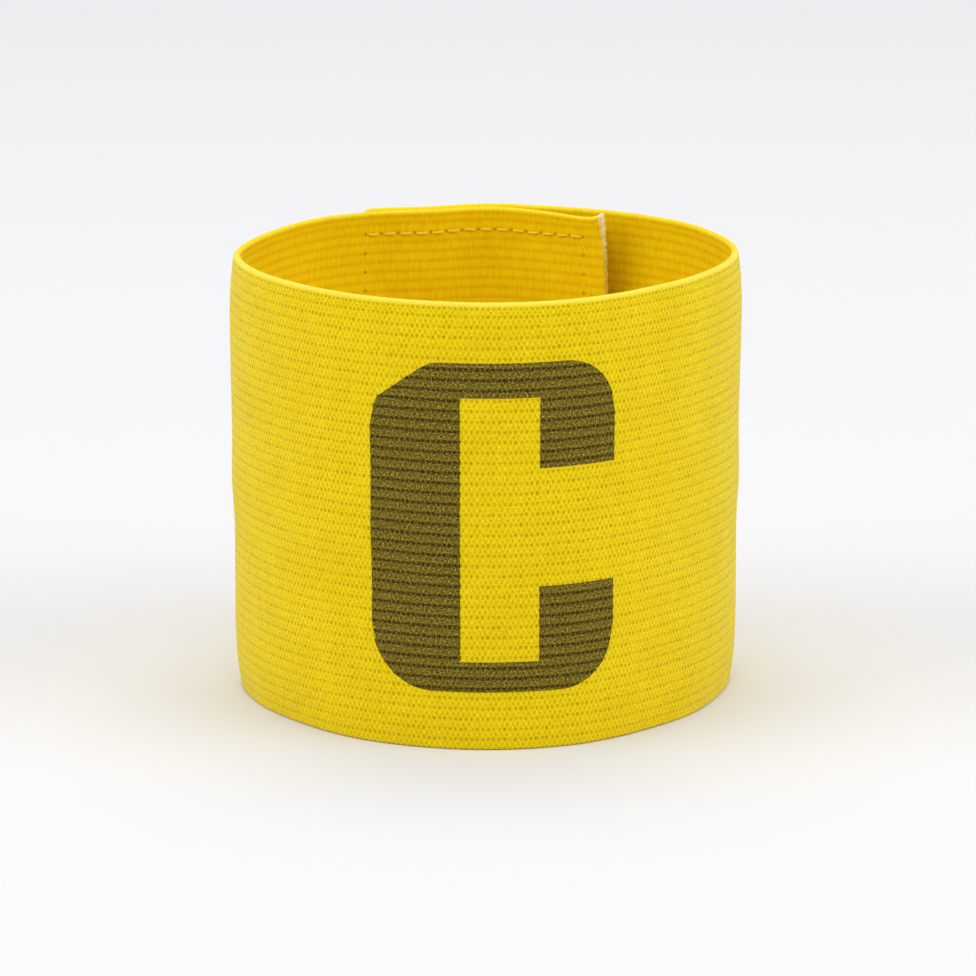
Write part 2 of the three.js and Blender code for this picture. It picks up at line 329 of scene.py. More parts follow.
def buildBand():
    # The section is one closed ring: foot, outer face, rim, inner face
    wall, top = strip["wall"] / mm, strip["width"] / mm
    turns = [math.radians(a) for a in knit["roundTurns"]]
    footOut = [(knit["footRound"] * (1 - math.sin(a)), wall / 2 * (math.cos(a) - 1)) for a in turns]
    footIn = [(h, -wall - o) for h, o in reversed(footOut[1:])]
    rimOut = [(top - knit["rimRound"] * (1 - math.sin(a)), wall / 2 * (math.cos(a) - 1))
              for a in reversed(turns)]
    rimIn = [(h, -wall - o) for h, o in reversed(rimOut[:-1])]
    ring = footOut + [(h, -d) for h, d in outerRows] + rimOut
    apex = len(ring) - 1
    ring += rimIn + [(h, d - wall) for h, d in reversed(innerRows)] + footIn
    heights, offsets = np.array(ring).T * mm

    ends = [degreesOf(step * mm) for step in cutEnds["columns"]]
    count = round((outerEnd - innerEnd - 2 * ends[-1]) / degreesOf(knit["columnStep"] * mm))
    bearings = np.concatenate([
        [innerEnd], [innerEnd + step for step in ends],
        np.linspace(innerEnd + ends[-1], outerEnd - ends[-1], count + 1)[1:-1],
        [outerEnd - step for step in reversed(ends)], [outerEnd]])
    columns = len(bearings)
    grid = np.repeat(bearings[:, None], len(ring), 1)

    # The first end is cut out of square, and both cuts are a little ragged
    slant = strip["endSlant"] * np.clip((strip["width"] - heights) / strip["slantHeight"], 0, 1)
    fade = 1 - eased(bearings, innerEnd, innerEnd + degreesOf(strip["slantFade"]))
    grid -= fade[:, None] * np.degrees(slant / strip["reach"])[None, :]
    rag = np.array([chance.uniform(-1, 1) for _ in ring]) * cutEnds["ragged"] * mm
    grid[0] += np.degrees(rag / strip["reach"])
    grid[-1] -= np.degrees(rag / strip["reach"])

    fromCorner = alongStrip(grid)
    belowRim = top - heights / mm
    follow = np.clip(1 - belowRim / cutEnds["liftHeight"], 0, 1) ** 2
    fromDip = (fromCorner - cutEnds["dipPlace"]) / cutEnds["dipReach"]
    lift = (cutEnds["cornerRise"] * np.exp(-np.maximum(fromCorner, 0) / cutEnds["riseReach"])
            - cutEnds["cornerDip"] * np.exp(-fromDip ** 2)) * follow[None, :] * mm
    points = onStrip(grid, heights[None, :] + lift, offsets[None, :]).reshape(-1, 3)
    uv = np.stack([alongStrip(grid), np.broadcast_to(heights / mm, grid.shape)], -1).reshape(-1, 2)
    size = len(ring)
    faces = []
    for here in range(0, (columns - 1) * size, size):
        for r in range(size):
            up = (r + 1) % size
            faces.append((here + r, here + size + r, here + size + up, here + up))
    for first in (0, (columns - 1) * size):
        outside = [(heights[r], first + r) for r in range(apex + 1)]
        inside = [(heights[r], first + r) for r in [0, *range(size - 1, apex - 1, -1)]]
        faces += zipChains(outside, inside)

    # cut is 1 where the cream core of the cut ends shows
    fromStart = np.radians(grid - grid[0]) * strip["reach"] / mm
    fromEnd = np.radians(grid[-1] - grid) * strip["reach"] / mm
    width = cutEnds["creamWidth"]
    for added, fadeHeight in cutEnds["creamAdded"]:
        width = width + added * np.exp(-belowRim / fadeHeight)
    width = width * np.array([chance.uniform(*cutEnds["creamUneven"]) for _ in ring])
    least = cutEnds["creamLeast"]
    plain = least + (1 - least) * np.exp(-(belowRim / cutEnds["creamHeight"]) ** 2)
    cut = np.maximum(plain * (1 - (fromStart / width) ** 2),
                     cutEnds["secondShare"] * (1 - fromEnd / cutEnds["secondWidth"]))
    piece = buildMesh("ribbed_strip", points, faces, uv, {"cut": np.clip(cut, 0, 1).ravel()})
    # the second material is for the face towards the arm
    materials = [1 if i % size >= apex else 0 for i in range((columns - 1) * size)]
    materials += [0] * (len(faces) - len(materials))
    piece.data.polygons.foreach_set("material_index", materials)
    return piece


band = buildBand()
print("ribbed strip:", len(band.data.polygons), "faces")


# The seams that hold the tapes: a rectangle of stitches at each end of the strip, in mm along the
# strip from its own end and in mm of height

seam = {
    "near": 4.8,  # mm from the strip's end
    "innerAcross": 49.0,
    "innerStitches": 14,
    "outerAcross": 41.2,
    "outerStitches": 12,
    "low": 4.6,
    "high": 80.4,
    "stitchesUp": 20,
    "lead": 0.15,  # share of a stitch's pitch before it starts
    "wobble": 5,  # degrees
    "uprightWobble": 4,
    "proud": 0.07 * mm,
    "uprightProud": -0.36 * mm,  # the upright rows are pulled in between the ribs
    "holeSquare": 0.24,  # mm squared, as far as a needle hole's shade reaches
    "holeMargin": 0.6,  # mm past a row's last hole
    "radius": 0.27 * mm,
    # one stitch: forward and up from its start, and thickness as a share
    "path": [(0, -0.3, 0.6), (0.15, -0.02, 0.9), (0.6, 0.1, 1), (1.2, 0.14, 1), (1.8, 0.1, 1),
             (2.3, -0.02, 0.9), (2.45, -0.3, 0.6)],
    "sides": 8,
}


sortFrom = (0.013, 0.017, 0.023)  # no two faces of a thread are as far from here


def drawThread(name, path, radius, sides):
    # A short thread is drawn out of a ring step by step; it lies along X and bends up Z
    bpy.ops.object.select_all(action="DESELECT")
    start, lift, share = path[0]
    bpy.ops.mesh.primitive_circle_add(
        vertices=sides, radius=radius * share, fill_type="NGON",
        location=(start * mm, 0, lift * mm), rotation=(0, math.radians(90), 0))
    piece = bpy.context.object
    piece.name = name
    bpy.ops.object.transform_apply(location=True, rotation=True, scale=True)
    bpy.ops.object.mode_set(mode="EDIT")
    bpy.ops.mesh.select_all(action="SELECT")
    for (x0, z0, s0), (x1, z1, s1) in zip(path, path[1:]):
        move = ((x1 - x0) * mm, 0, (z1 - z0) * mm)
        bpy.ops.mesh.extrude_region_move(TRANSFORM_OT_translate={"value": move})
        bpy.ops.transform.resize(value=(1, s1 / s0, s1 / s0), center_override=(x1 * mm, 0, z1 * mm))
    bpy.ops.mesh.select_all(action="SELECT")
    bpy.ops.mesh.normals_make_consistent(inside=False)
    # extruding leaves the faces in an order that changes from run to run, so they are sorted by
    # their distance from the cursor, which then goes back
    cursor = bpy.context.scene.cursor
    cursor.location = sortFrom
    bpy.ops.mesh.sort_elements(type="CURSOR_DISTANCE", elements={"FACE"})
    cursor.location = (0, 0, 0)
    bpy.ops.object.mode_set(mode="OBJECT")
    piece.data.shade_smooth()
    return piece


def joinCopies(name, model, places):
    # A copy of the model, with a mesh of its own, at each place; all are then one piece
    copies = []
    for place in places:
        copy = model.copy()
        copy.data = model.data.copy()
        copy.data.transform(place)
        bpy.context.scene.collection.objects.link(copy)
        copies.append(copy)
    bpy.ops.object.select_all(action="DESELECT")
    for copy in copies:
        copy.select_set(True)
    bpy.context.view_layer.objects.active = copies[0]
    bpy.ops.object.join()
    piece = bpy.context.object
    piece.name = name
    piece.data.name = name
    return piece


def placeOn(bearing, height, offset, outward, turned):
    # Local X along the strip, turned by degrees, and local Z away from the face
    step = 0.3  # degrees along the strip, and mm up it
    here, ahead, above = (Vector(onStrip(b, h, offset)) for b, h in (
        (bearing, height), (bearing + step, height), (bearing, height + step * mm)))
    along = (ahead - here).normalized()
    away = along.cross(above - here).normalized()
    if not outward:
        away = -away
    side = away.cross(along)
    frameOf = Matrix((along, side, away)).transposed().to_4x4()
    return Matrix.Translation(here) @ frameOf @ Matrix.Rotation(math.radians(turned), 4, "Z")


def seamPlaces(bearingAt, outward, across, count):
    # Stitch starts round the rectangle; bearingAt turns mm from the strip's end into a bearing
    def offset(proud):
        return proud if outward else -strip["wall"] - proud

    places = []
    for height in (seam["low"], seam["high"]):
        for i in range(count):
            start = seam["near"] + (i + seam["lead"]) * across / count
            bearing = min(bearingAt(start), bearingAt(start + seam["path"][-1][0]))
            turned = chance.uniform(-seam["wobble"], seam["wobble"])
            places.append(placeOn(bearing, height * mm, offset(seam["proud"]), outward, turned))
    pitchUp = (seam["high"] - seam["low"]) / seam["stitchesUp"]
    for column in (seam["near"], seam["near"] + across):
        for i in range(seam["stitchesUp"]):
            height = seam["low"] + (i + seam["lead"]) * pitchUp
            turned = 90 if outward else -90
            turned += chance.uniform(-seam["uprightWobble"], seam["uprightWobble"])
            places.append(placeOn(
                bearingAt(column), height * mm, offset(seam["uprightProud"]), outward, turned))
    return places


def fromInnerEnd(distance):
    return innerEnd + degreesOf(distance * mm)


def fromOuterEnd(distance):
    return outerEnd - degreesOf(distance * mm)


stitch = drawThread("stitch", seam["path"], seam["radius"], seam["sides"])
innerSeam = joinCopies("inner_end_seam", stitch, seamPlaces(
    fromInnerEnd, False, seam["innerAcross"], seam["innerStitches"]))
outerSeam = joinCopies("outer_end_seam", stitch, seamPlaces(
    fromOuterEnd, True, seam["outerAcross"], seam["outerStitches"]))
bpy.data.objects.remove(stitch)
print("seams:", len(innerSeam.data.polygons) + len(outerSeam.data.polygons), "faces")


# Threads that stand out of the two cut ends

frayed = {
    "count": 16,
    "cornerCount": 26,  # more of them at the top corner of the first end
    "cornerSpread": 2.2 * mm,
    "footMargin": 0.5 * mm,
    "rimMargin": 0.3 * mm,
    "depth": (0.25, 0.85),  # share of the wall
    "fan": 22,  # degrees
    "radius": 0.0625 * mm,
    "path": [(-0.3, 0, 1), (0.2, 0.02, 1), (0.55, 0.1, 0.9), (0.85, 0.24, 0.7), (1.05, 0.42, 0.35)],
    "sides": 5,
    "length": (0.25, 0.65),
}


def frayedPlaces(bearing, towards, count, cornerCount):
    # towards is -1 where the threads point to lower bearings
    places = []
    for i in range(count + cornerCount):
        if i < count:
            height = strip["width"] * (i + chance.random()) / count
        else:
            height = strip["width"] - abs(chance.gauss(0, frayed["cornerSpread"]))
        height = min(max(height, frayed["footMargin"]), strip["width"] - frayed["rimMargin"])
        offset = -strip["wall"] * chance.uniform(*frayed["depth"])
        slant = strip["endSlant"] * min((strip["width"] - height) / strip["slantHeight"], 1)
        shift = degreesOf(slant) if towards < 0 else 0
        turned = chance.gauss(0, frayed["fan"]) + (180 if towards < 0 else 0)
        length = chance.uniform(*frayed["length"])
        place = placeOn(bearing - shift, height, offset, towards > 0, turned)
        roll = Matrix.Rotation(math.radians(chance.uniform(0, 360)), 4, "X")
        places.append(place @ Matrix.Diagonal((length, length, length, 1)) @ roll)
    return places


hair = drawThread("hair", frayed["path"], frayed["radius"], frayed["sides"])
innerFray = joinCopies(
    "inner_end_fray", hair, frayedPlaces(innerEnd, -1, frayed["count"], frayed["cornerCount"]))
outerFray = joinCopies("outer_end_fray", hair, frayedPlaces(outerEnd, 1, frayed["count"], 0))
bpy.data.objects.remove(hair)
print("frayed ends:", len(innerFray.data.polygons) + len(outerFray.data.polygons), "faces")


# The two tapes between the layers

def buildTape(name, firstBearing, length, innerOffset, thickness):
    columns = round(length / tapes["step"]) + 1
    rows = round((strip["width"] - 2 * tapes["sideMargin"]) / tapes["step"]) + 1
    bearings = np.linspace(firstBearing, firstBearing + degreesOf(length), columns)
    heights = np.linspace(tapes["sideMargin"], strip["width"] - tapes["sideMargin"], rows)
    edge = tapes["edgeThin"] * thickness
    thin = np.ones((columns, rows))
    thin[[0, -1], :] = 0
    thin[:, [0, -1]] = 0
    grid, level = np.meshgrid(bearings, heights, indexing="ij")
    outer = onStrip(grid, level, innerOffset + thickness - edge * (1 - thin))
    inner = onStrip(grid, level, innerOffset + edge * (1 - thin) / 2)
    points = np.concatenate([outer.reshape(-1, 3), inner.reshape(-1, 3)])
    uv = np.stack([alongStrip(grid), level / mm], -1).reshape(-1, 2)
    half = columns * rows
    faces = []
    for c in range(columns - 1):
        for r in range(rows - 1):
            a, b = c * rows + r, (c + 1) * rows + r
            faces += [(a, b, b + 1, a + 1), (half + a, half + a + 1, half + b + 1, half + b)]
    rim = ([c * rows for c in range(columns)]
           + [(columns - 1) * rows + r for r in range(1, rows)]
           + [c * rows + rows - 1 for c in range(columns - 2, -1, -1)]
           + [r for r in range(rows - 2, 0, -1)])
    faces += [(a, half + a, half + b, b) for a, b in zip(rim, rim[1:] + rim[:1])]
    return buildMesh(name, points, faces, np.concatenate([uv, uv]))


hookTape = buildTape(
    "hook_tape", innerEnd + degreesOf(tapes["endMargin"]), tapes["hookLength"],
    tapes["gap"], tapes["hookThickness"])
loopTape = buildTape(
    "loop_tape", outerEnd - degreesOf(tapes["endMargin"] + tapes["loopLength"]),
    tapes["loopLength"], -strip["wall"] - tapes["gap"] - tapes["loopThickness"],
    tapes["loopThickness"])
print("tapes built")


# The printed letter, a thin skin over the ribs

letter = {
    "footMargin": 11.2,  # mm, as are the rest
    "rimMargin": 11.1,
    "shift": 1.7,
    "stem": 18.0,
    "counter": 15.0,
    "arm": 15.8,
    "topBar": 6.6,
    "footBar": 5.8,
    "mouthShare": 0.36,
    "chamferWidth": 12.1,
    "chamferDrop": 8.4,
    "chamferSoft": 0.09,  # its corners are rounded
    "chamferEase": 1.7,  # a short steeper cut at its foot
    "cornerDrop": 4.4,
    "armTopRound": 10.8,
    "armFootRound": 11.6,
    "stemFootRound": 12.6,
    "proud": 0.05 * mm,
    "skin": 0.03 * mm,
    "columnStep": 0.9,
    # how the print's edge strays from rib to rib: how far, and radians for each mm up and across
    "wander": [(0.05, 2.9, 0.31), (0.035, 5.3, -0.47), (0.025, 9.7, 1.3)],
    "slimRow": 0.07,
}
letterTop = strip["width"] / mm - letter["rimMargin"]
letterFoot = letter["footMargin"]
letterLeft = letter["shift"] - (letter["stem"] + letter["counter"] + letter["arm"]) / 2
stemEdge = letterLeft + letter["stem"]
armEdge = stemEdge + letter["counter"]
letterRight = armEdge + letter["arm"]
armHeight = (letterTop - letterFoot) * (1 - letter["mouthShare"]) / 2


def roundOff(radius, inset):
    inset = min(max(inset, 0), radius)
    return radius - math.sqrt(radius * radius - inset * inset)


def letterSpans(arc, bare):
    # The printed heights at an arc, low to high
    inset = max(arc - letterLeft, 0)
    along = 1 - inset / letter["chamferWidth"]
    chamfer = letter["chamferDrop"] * (along + math.hypot(along, letter["chamferSoft"])) / 2
    chamfer += letter["cornerDrop"] * max(0, 1 - inset / letter["chamferEase"]) ** 2
    topRound, footRound, stemRound = (
        letter[name] for name in ("armTopRound", "armFootRound", "stemFootRound"))
    high = letterTop - chamfer - roundOff(topRound, arc - letterRight + topRound)
    low = (letterFoot + roundOff(stemRound, letterLeft + stemRound - arc)
           + roundOff(footRound, arc - letterRight + footRound))
    edges = [low, *bare, high]
    return list(zip(edges[::2], edges[1::2]))


def buildLetter():
    zones = [
        (letterLeft, stemEdge, []),
        (stemEdge, armEdge, [letterFoot + letter["footBar"], letterTop - letter["topBar"]]),
        (armEdge, letterRight, [letterFoot + armHeight, letterTop - armHeight]),
    ]
    marks = [mark for _, _, bare in zones for mark in bare]
    numbers, places = {}, []

    def numberOf(arc, height):
        key = (round(arc, 5), round(height, 5))
        if key not in numbers:
            numbers[key] = len(places)
            places.append((arc, height))
        return numbers[key]

    def chain(arc, low, high, zoneEnd):
        kept = marks if zoneEnd else []
        fixed = [low, high, *kept]
        heights = [h for h, _ in outerRows
                   if low < h < high and all(abs(h - f) > letter["slimRow"] for f in fixed)]
        heights += [low, high] + [m for m in kept if low < m < high]
        return [(h, numberOf(arc, h)) for h in sorted(heights)]

    faces = []
    for left, right, bare in zones:
        steps = round((right - left) / letter["columnStep"])
        arcs = [left + (right - left) * i / steps for i in range(steps + 1)]
        for i in range(steps):
            pair = [letterSpans(arcs[i], bare), letterSpans(arcs[i + 1], bare)]
            for (lowA, highA), (lowB, highB) in zip(*pair):
                faces += zipChains(
                    chain(arcs[i], lowA, highA, i == 0),
                    chain(arcs[i + 1], lowB, highB, i == steps - 1))
    arc, height = np.array(places).T
    wander = sum(far * np.sin(height * up + arc * across) for far, up, across in letter["wander"])
    bearing = 270 + np.degrees((arc + wander) * mm / strip["reach"])
    face = -faceDepth(outerRows, height * mm)
    top = onStrip(bearing, height * mm, face + letter["proud"])
    back = onStrip(bearing, height * mm, face + letter["proud"] - letter["skin"])
    half = len(places)
    edges = {}
    for a, b, c in faces:
        for edge in ((a, b), (b, c), (c, a)):
            edges[edge] = True
    sides = [(b, a, a + half, b + half) for a, b in edges if (b, a) not in edges]
    everything = faces + [(c + half, b + half, a + half) for a, b, c in faces] + sides
    uv = np.stack([alongStrip(bearing), height], -1)
    return buildMesh(
        "printed_letter", np.concatenate([top, back]), everything, np.concatenate([uv, uv]))


letterPiece = buildLetter()
print("letter:", len(letterPiece.data.polygons), "faces")


# What the knit looks like, shared by the elastic and by the ink on it

pattern = {
    "stray": (0.51, 0.34, 0),  # mm, how far the stitches stray from their rows
    "strayNoise": {"Scale": 1.3, "Detail": 2.0, "Roughness": 0.6},
    # each kind of stitch hole: the shift that brings it to the middle of its cell, as shares of the
    # pitches, and its half size in mm
    "holes": {
        "grooveHoles": {"shift": (0.5, 0.5, 0), "size": (0.25, 0.41)},
        "ribHoles": {"shift": (0.0, 0.02, 0), "size": (0.24, 0.36)},
    },
    "holeStray": (0.2, 0.09),  # shares of the pitches
    "holeEdge": (1.5, 0.15),  # half sizes from the middle: where it starts and where it is full
    "faintestHole": 0.4,
    "slantWidth": 0.2,
    "uprightStretch": (1.9, 0.3, 0),  # long upright threads, for the smoother back
    "noises": {
        "fibre": {"Scale": 2.9, "Detail": 3.0, "Roughness": 0.65},
        "upright": {"Scale": 1.0, "Detail": 2.0, "Roughness": 0.6},
        "patches": {"Scale": 0.11, "Detail": 2.0, "Roughness": 0.5},
    },
}


def knitPattern(tree, grooveWidth):
    # Gives masks from 0 to 1: holes in the grooves, fainter holes up the ribs, slanting shadows
    # from hole to hole, the grooves, and noises; the pattern follows the strip in millimetres
    cloth = addNode(tree, "UVMap", {"uv_map": "cloth"})
    stray = addNode(tree, "TexNoise", flatNoise,
                    {"Vector": cloth, **pattern["strayNoise"]}, output=1)
    stray = addNode(tree, "VectorMath", subtract, {0: stray, 1: (0.5, 0.5, 0.5)})
    stray = addNode(tree, "VectorMath", multiply, {0: stray, 1: pattern["stray"]})
    strayed = addNode(tree, "VectorMath", add, {0: cloth, 1: stray})
    # the last rib, under the rim, is a narrow one
    height = addNode(tree, "SeparateXYZ", None, {0: cloth}, output=1)
    past = addNode(tree, "Math", subtract, {0: height, 1: grooves[-2]})
    past = addNode(tree, "Math", maximum, {0: past, 1: 0.0})
    past = addNode(tree, "Math", multiply,
                   {0: past, 1: knit["ribPitch"] / (grooves[-1] - grooves[-2]) - 1})
    past = addNode(tree, "CombineXYZ", None, {1: past})
    strayed = addNode(tree, "VectorMath", add, {0: strayed, 1: past})
    lowered = addNode(tree, "VectorMath", subtract, {0: strayed, 1: (0, knit["footGroove"], 0)})
    pitch = (knit["stitchPitch"], knit["ribPitch"], 1)
    cells = addNode(tree, "VectorMath", {"operation": "DIVIDE"}, {0: lowered, 1: pitch})
    masks = {"cloth": cloth}
    strayAcross, strayUp = pattern["holeStray"]
    holeStart, holeFull = pattern["holeEdge"]
    for name, form in pattern["holes"].items():
        moved = addNode(tree, "VectorMath", add, {0: cells, 1: form["shift"]})
        whole = addNode(tree, "VectorMath", {"operation": "FLOOR"}, {0: moved})
        luck = addNode(tree, "TexWhiteNoise", flatNoise, {"Vector": whole}, output=None)
        within = addNode(tree, "VectorMath", {"operation": "FRACTION"}, {0: moved})
        aside = addNode(tree, "VectorMath", multiplyAdd, {
            0: luck.outputs["Color"], 1: (strayAcross, strayUp, 0),
            2: (-0.5 - strayAcross / 2, -0.5 - strayUp / 2, 0)})
        centred = addNode(tree, "VectorMath", add, {0: within, 1: aside})
        inSizes = addNode(tree, "VectorMath", multiply, {
            0: centred, 1: (pitch[0] / form["size"][0], pitch[1] / form["size"][1], 0)})
        away = addNode(tree, "VectorMath", {"operation": "LENGTH"}, {0: inSizes}, output=1)
        hole = addNode(tree, "MapRange", softRamp, {0: away, 1: holeStart, 2: holeFull})
        strength = addNode(tree, "MapRange", None,
                           {0: luck.outputs["Value"], 3: pattern["faintestHole"]})
        masks[name] = addNode(tree, "Math", multiply, {0: hole, 1: strength})
    parts = addNode(tree, "SeparateXYZ", None, {0: cells}, output=None)
    fromGroove = addNode(tree, "Math", pingPong, {0: parts.outputs[1], 1: 0.5})
    fromHole = addNode(tree, "Math", pingPong, {0: parts.outputs[0], 1: 0.5})
    offSlant = addNode(tree, "Math", subtract, {0: fromHole, 1: fromGroove})
    offSlant = addNode(tree, "Math", absolute, {0: offSlant})
    for name, distance, width in (
        ("slant", offSlant, pattern["slantWidth"]),
        ("groove", fromGroove, grooveWidth),
    ):
        masks[name] = addNode(tree, "MapRange", softRamp, {0: distance, 1: width, 2: 0.0})
    upright = addNode(tree, "VectorMath", multiply, {0: strayed, 1: pattern["uprightStretch"]})
    for name, place in (("fibre", strayed), ("upright", upright), ("patches", cloth)):
        masks[name] = addNode(
            tree, "TexNoise", flatNoise, {"Vector": place, **pattern["noises"][name]})
    return masks


def needleHoles(tree, cloth):
    # Where the two seams' needles went through, 1 in the middle of each hole
    parts = addNode(tree, "SeparateXYZ", None, {0: cloth}, output=None)
    fromStart = parts.outputs[0]
    fromEnd = addNode(tree, "Math", subtract, {0: stripLength / mm, 1: fromStart})
    upMiddle, tall = (seam["high"] + seam["low"]) / 2, seam["high"] - seam["low"]
    up = addNode(tree, "Math", subtract, {0: parts.outputs[1], 1: upMiddle})
    found = None
    for fromCut, wide, count in (
        (fromStart, seam["innerAcross"], seam["innerStitches"]),
        (fromEnd, seam["outerAcross"], seam["outerStitches"]),
    ):
        across = addNode(tree, "Math", subtract, {0: fromCut, 1: seam["near"] + wide / 2})
        for along, length, steps, beside, distance in (
            (across, wide, count, up, tall / 2),
            (up, tall, seam["stitchesUp"], across, wide / 2),
        ):
            step = addNode(tree, "Math", add, {0: along, 1: length / 2})
            step = addNode(tree, "Math", pingPong, {0: step, 1: length / steps / 2})
            side = addNode(tree, "Math", absolute, {0: beside})
            side = addNode(tree, "Math", subtract, {0: side, 1: distance})
            square = addNode(tree, "Math", multiply, {0: side, 1: side})
            square = addNode(tree, "Math", multiplyAdd, {0: step, 1: step, 2: square})
            hole = addNode(tree, "MapRange", softRamp, {0: square, 1: seam["holeSquare"], 2: 0.0})
            inside = addNode(tree, "Math", absolute, {0: along})
            inside = addNode(tree, "Math", {"operation": "LESS_THAN"},
                             {0: inside, 1: length / 2 + seam["holeMargin"]})
            hole = addNode(tree, "Math", multiply, {0: hole, 1: inside})
            found = hole if found is None else addNode(
                tree, "Math", maximum, {0: found, 1: hole})
    return found


elastic = {
    "face": {
        "colour": "#ffe714",  # the lit tops of the loops
        "shadeColour": "#dfbb02",
        # painted shade in the stitch holes
        "holeShadeColour": "#bd9300",
        "holes": 1.0,  # how plain the stitch holes are
        # painted shade in the grooves
        "groove": 0.2,
        "grooveWidth": 0.25,  # of the rib pitch, to each side
        "threads": "fibre",
        "mottle": 0.68,
        "rim": 0.45,
        "sheen": 0.42,
    },
    "back": {
        "colour": "#ffe402",
        "shadeColour": "#f1bf00",
        "holeShadeColour": "#d99c00",
        "holes": 0.1,
        "groove": 0.46,
        "grooveWidth": 0.38,
        "threads": "upright",
        "mottle": 0.4,
        "rim": 0.15,
        "sheen": 0.04,
    },
    "ribHoles": 0.6,  # how plain they are beside the holes in the grooves
    "slant": 0.3,  # shade of the shadows from hole to hole
    "patches": (0.3, 0.7),  # their noise where they start and where they are full
    "patchShade": 0.14,
    "mottleNoise": (0.36, 0.64),
    "holesEnd": (84.0, 84.4),  # mm up, where the holes fade out
    "rimStart": (84.05, 84.65),  # mm up, where the turned edge sets in
    "rimColour": "#fff270",  # painted highlight along the turned edge, where its fibres catch the light
    "cutColour": "#fdf3cf",
    # painted shade in the seams' needle holes
    "needleShadeColour": "#a87a00",
    "needle": 0.6,
    "fibreRelief": 0.9,
}


def makeElastic(name, look):
    # Knitted polyester over rubber threads: matt, with soft light edges where the fibres stand
    # out, rows of small stitch holes darkened with painted shade, painted shade in the grooves and
    # from hole to hole, a painted highlight along the rim, and a cream core at the cut ends. Its
    # back, towards the arm, is smoother, with hardly any holes and soft broad ribs.
    material, tree = newMaterial(name)
    masks = knitPattern(tree, look["grooveWidth"])
    cut = addNode(tree, "Attribute", {"attribute_name": "cut"}, output=2)
    needle = needleHoles(tree, masks["cloth"])
    # the stitch holes are darkened with painted shade, and sunk by the bump below
    holes = addNode(tree, "Math", multiply, {0: masks["ribHoles"], 1: elastic["ribHoles"]})
    holes = addNode(tree, "Math", maximum, {0: masks["grooveHoles"], 1: holes})
    height = addNode(tree, "SeparateXYZ", None, {0: masks["cloth"]}, output=1)
    low, high = elastic["holesEnd"]
    belowRim = addNode(tree, "MapRange", softRamp,
                       {0: height, 1: low, 2: high, 3: look["holes"], 4: 0.0})
    holes = addNode(tree, "Math", multiply, {0: holes, 1: belowRim})

    low, high = elastic["patches"]
    patches = addNode(tree, "MapRange", None,
                      {0: masks["patches"], 1: low, 2: high, 4: elastic["patchShade"]})
    low, high = elastic["mottleNoise"]
    mottle = addNode(tree, "MapRange", None,
                     {0: masks[look["threads"]], 1: low, 2: high, 3: look["mottle"], 4: 0.0})
    slant = addNode(tree, "Math", multiply, {0: masks["slant"], 1: belowRim})
    # tone: random patches and mottle, with painted shade slanting from hole to hole and in the
    # grooves
    tone = addNode(tree, "Math", add, {0: patches, 1: mottle})
    for mask, share in ((slant, elastic["slant"]), (masks["groove"], look["groove"])):
        tone = addNode(tree, "Math", multiplyAdd, {0: mask, 1: share, 2: tone})
    # a painted highlight along the rim, from here up
    low, high = elastic["rimStart"]
    rim = addNode(tree, "MapRange", softRamp, {0: height, 1: low, 2: high, 4: look["rim"]})
    # painted shade in the seams' needle holes
    needleTone = addNode(tree, "Math", multiply, {0: needle, 1: elastic["needle"]})
    colour = linear(look["colour"])
    for mask, over in (
        (tone, look["shadeColour"]), (holes, look["holeShadeColour"]), (rim, elastic["rimColour"]),
        (cut, elastic["cutColour"]), (needleTone, elastic["needleShadeColour"]),
    ):
        colour = addNode(tree, "Mix", colourMix, {0: mask, 6: colour, 7: linear(over)}, output=2)

    depth = addNode(tree, "Math", add, {0: holes, 1: needle})
    relief = addNode(tree, "Math", multiplyAdd,
                     {0: masks["fibre"], 1: elastic["fibreRelief"], 2: 1.0})
    relief = addNode(tree, "Math", subtract, {0: relief, 1: depth})
    normal = addNode(tree, "Bump", None,
                     {"Strength": 0.55, "Distance": 0.14 * mm, "Height": relief})
    shader = addNode(tree, "BsdfPrincipled", None, {
        "Base Color": colour, "Roughness": 0.85, "IOR": 1.5, "Specular IOR Level": 0.08,
        "Sheen Weight": look["sheen"], "Sheen Roughness": 0.4, "Sheen Tint": linear("#fbffb2"),
        "Normal": normal})
    finishMaterial(tree, shader)
    return material


ink = {
    "colour": "#6f5c0e",
    "bulgeHighlightColour": "#968420",  # painted highlight: the paler band where each rib bulges above its groove
    "bandPlace": 0.26,  # share of the rib pitch above the groove
    "bandReach": 0.5,  # mm
    "bandShare": 0.4,
    "lightColour": "#c8b558",
    "specks": {"Scale": 3.2, "Detail": 3.0, "Roughness": 0.75},
    "speckNoise": (0.49, 0.66),  # where they start and where they are full
    # dark ink in the grooves and random mottle, with painted shade in the grooves, the stitch holes
    # and from hole to hole
    "grooveInkAndShadeColour": "#261b00",
    "grooveWidth": 0.31,
    "mottleNoise": (0.3, 0.62),
    "mottle": (0.55, -0.1),
    # how much each mask darkens the ink: painted shade in the stitch holes, in the grooves on top
    # of the ink lying there, and slanting from hole to hole
    "shades": {"grooveHoles": 0.4, "groove": 0.62, "ribHoles": 0.45, "slant": 0.22},
    "shadeLimit": 1.2,
    "darkest": 0.95,
}


